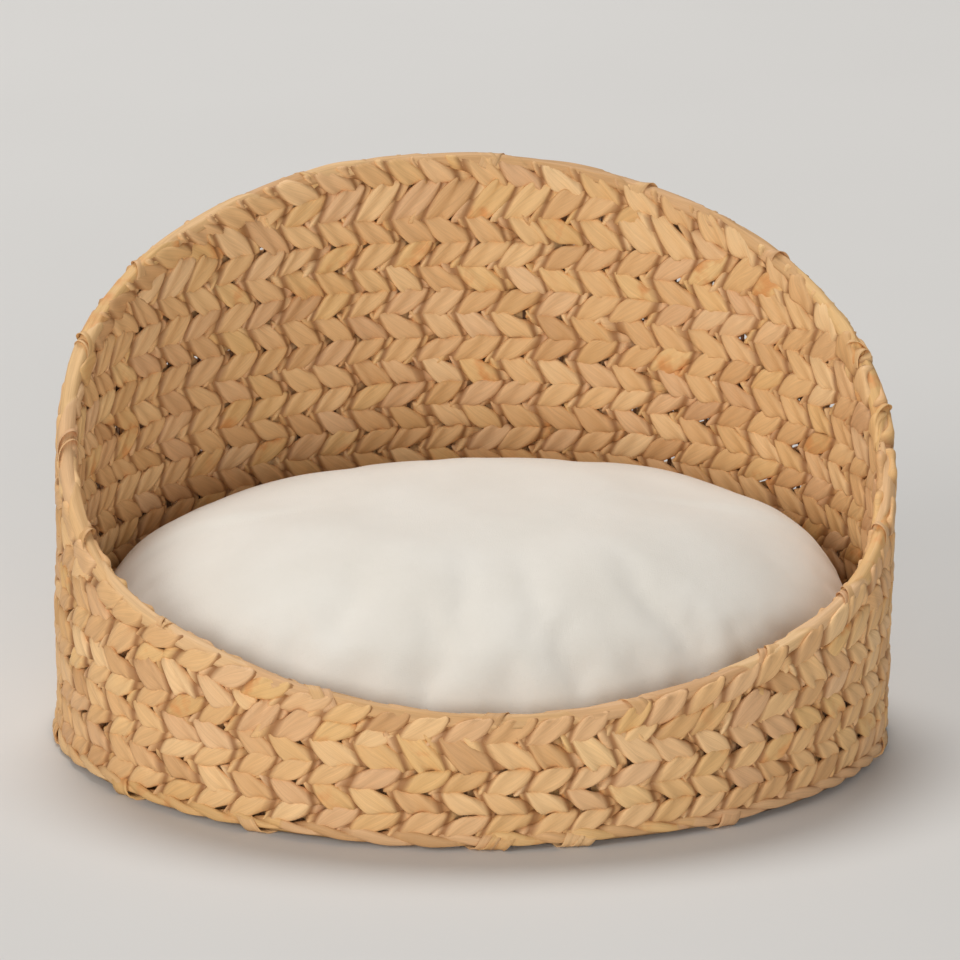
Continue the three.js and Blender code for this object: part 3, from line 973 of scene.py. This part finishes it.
PIECES = (
    ("twined_rim_row", rim_row, weave, "hyacinth_weave"),
    ("rim_roll", rim_roll, wrap, "hyacinth_wrap"),
    ("rim_bindings", rim_bindings, wrap, "hyacinth_wrap"),
    ("foot_band", foot_band, wrap, "hyacinth_wrap"),
    ("foot_twist", foot_twist, wrap, "hyacinth_wrap"),
    ("foot_bindings", foot_bindings, wrap, "hyacinth_wrap"),
    ("woven_base", woven_base, weave, "hyacinth_weave"),
)
made = {}
for name, fill_builder, material, slot in PIECES:
    builder = Builder(name)
    fill_builder(builder)
    made[name] = builder.build(material)

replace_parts(made["rim_roll"], "rim_wrap")
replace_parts(made["foot_band"], "foot_wrap")
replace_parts(made["woven_base"], "base_mat_under", "base_mat_top")
make_cushion(cotton)


# ---- Stage ----

def add_floor():
    """A plain pale sheet of paper."""
    mesh = bpy.data.meshes.new("floor")
    half = 6.0
    corners = [(-half, -half, 0), (half, -half, 0), (half, half, 0), (-half, half, 0)]
    mesh.from_pydata(corners, [], [(0, 1, 2, 3)])
    floor = bpy.data.objects.new("floor", mesh)
    bpy.context.scene.collection.objects.link(floor)
    n = Nodes("floor_paper")
    cloud = n.noise(n.coordinates(), 1.5)
    colour = n.ramp(cloud, (0.3, (0.66, 0.65, 0.63)), (0.7, (0.68, 0.67, 0.65)))
    n.link(colour, n.shader.inputs["Base Color"])
    n.shader.inputs["Roughness"].default_value = 0.9
    mesh.materials.append(n.material)


def add_light(name, place, target, size, power, colour):
    """A round soft light that points at target."""
    data = bpy.data.lights.new(name, "AREA")
    data.shape = "DISK"
    data.size = size
    data.energy = power
    data.color = colour
    light = bpy.data.objects.new(name, data)
    bpy.context.scene.collection.objects.link(light)
    light.location = place
    light.rotation_euler = (Vector(target) - Vector(place)).to_track_quat("-Z", "Y").to_euler()


def add_world():
    world = bpy.data.worlds.new("studio")
    world.use_nodes = True
    background = world.node_tree.nodes["Background"]
    background.inputs["Color"].default_value = (0.97, 0.98, 1.0, 1)
    background.inputs["Strength"].default_value = 0.20
    bpy.context.scene.world = world


def add_camera():
    """A camera far off, low and a little to the left of the front."""
    yaw, rise, roll = math.radians(6.2), math.radians(19.5), math.radians(1.2)
    distance = 3.5
    centre, aim = Vector((0, 0, 0.10)), Vector((0.0015, 0, 0.1631))
    back = Vector((-math.cos(rise) * math.sin(yaw), -math.cos(rise) * math.cos(yaw), math.sin(rise)))
    data = bpy.data.cameras.new("camera")
    data.sensor_width = 36
    data.lens = 211.125  # mm
    data.clip_end = 50
    camera = bpy.data.objects.new("camera", data)
    bpy.context.scene.collection.objects.link(camera)
    camera.location = centre + back * distance
    turn = (camera.location - aim).to_track_quat("Z", "Y").to_matrix()
    camera.rotation_euler = (turn @ Matrix.Rotation(roll, 3, "Z")).to_euler()
    bpy.context.scene.camera = camera


add_floor()
add_light("window", (-4.1, -2.7, 2.2), (0, 0, 0.1), 3.0, 110, (1.0, 0.97, 0.94))
add_light("overhead", (-0.3, 2.7, 5.2), (0, 0.9, 0), 3.0, 216, (1.0, 0.985, 0.97))
add_light("front", (0.2, -5.2, 1.0), (0, 0, 0.1), 3.0, 118, (1.0, 0.985, 0.96))
add_world()
add_camera()
bpy.context.scene.view_settings.view_transform = "Standard"
